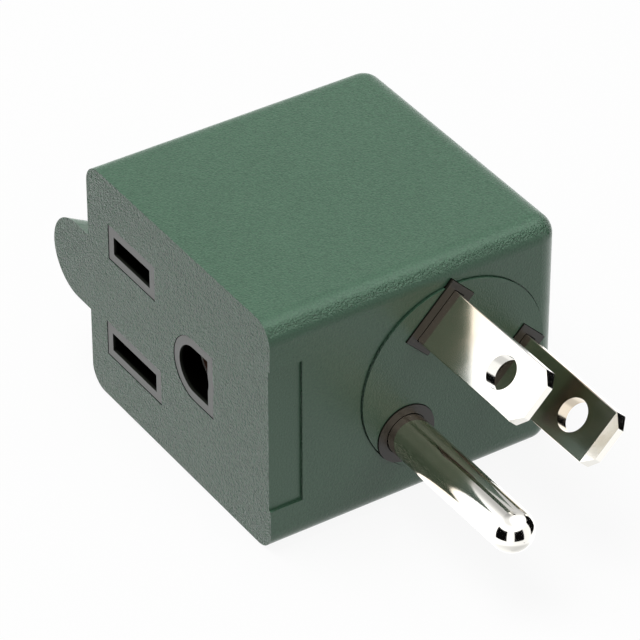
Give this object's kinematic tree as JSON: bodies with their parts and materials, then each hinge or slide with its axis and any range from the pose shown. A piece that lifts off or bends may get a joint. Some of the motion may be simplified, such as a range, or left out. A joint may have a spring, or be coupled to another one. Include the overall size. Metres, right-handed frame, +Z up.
{
  "type": "right angle plug adapter",
  "caption": "Grounded right angle plug adapter: a rounded green block with a receptacle in one side, blades and pin standing out of the next, and a finger tab.",
  "frame": {"origin": "centre of the body's bottom face, midway between its sides and between the receptacle face and the back", "axes": "+Z up, +X along the blades and the pin towards their tips, -Y out of the receptacle face"},
  "size_m": [0.0635, 0.035, 0.0281],
  "materials": {
    "green_body": "fine spark-eroded grain, satin",
    "insulator": "smooth, satin",
    "plated_blade": "bright nickel plate",
    "plated_pin": "bright nickel plate",
    "contact_brass": "bare stamped brass"
  },
  "bodies": {
    "root": {"body": "green_body", "contact_carrier": "insulator", "rear_cover": "insulator", "plug_bridge": "insulator", "hot_blade": "plated_blade", "neutral_blade": "plated_blade", "ground_pin": "plated_pin", "hot_contact": "contact_brass", "neutral_contact": "contact_brass", "ground_contact": "contact_brass", "hot_rivet": "contact_brass", "neutral_rivet": "contact_brass"}
  },
  "joints": []
}
